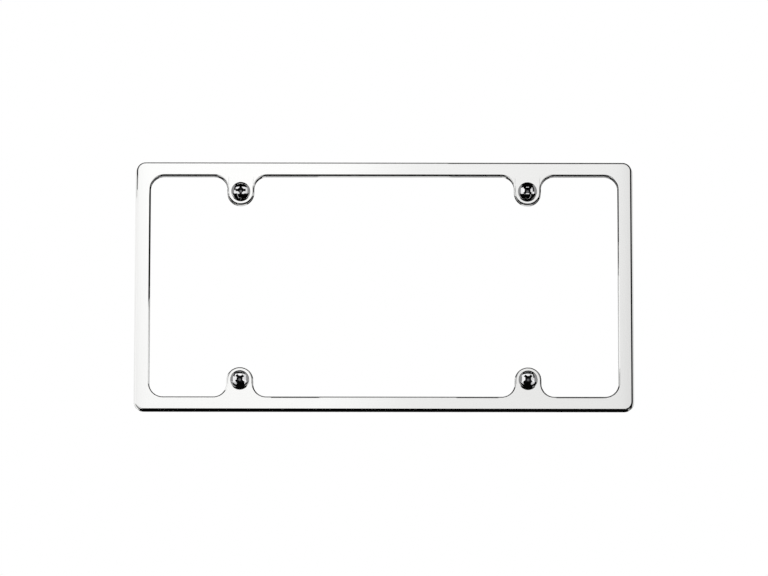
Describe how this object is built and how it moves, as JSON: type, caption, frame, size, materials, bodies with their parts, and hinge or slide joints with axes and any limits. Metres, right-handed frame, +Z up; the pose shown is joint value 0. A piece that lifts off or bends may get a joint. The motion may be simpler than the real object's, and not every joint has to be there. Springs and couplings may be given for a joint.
{
  "type": "number plate frame",
  "caption": "Slim metal frame that surrounds a number plate, with screw tabs inside its window and pan-head screws through them.",
  "frame": {"origin": "middle of the pattern of the screws, on the floor of the plate's seat", "axes": "+X to the right as seen from in front, +Z up the plate, +Y from the face towards the vehicle, so the face looks along -Y"},
  "size_m": [0.3086, 0.0229, 0.1588],
  "materials": {
    "polished_aluminium": "polished, with a faint brushed grain along each rail",
    "screw_steel": "bright plated steel"
  },
  "bodies": {
    "root": {"frame": "polished_aluminium", "screw_top_left": "screw_steel", "screw_top_right": "screw_steel", "screw_bottom_left": "screw_steel", "screw_bottom_right": "screw_steel"}
  },
  "joints": []
}
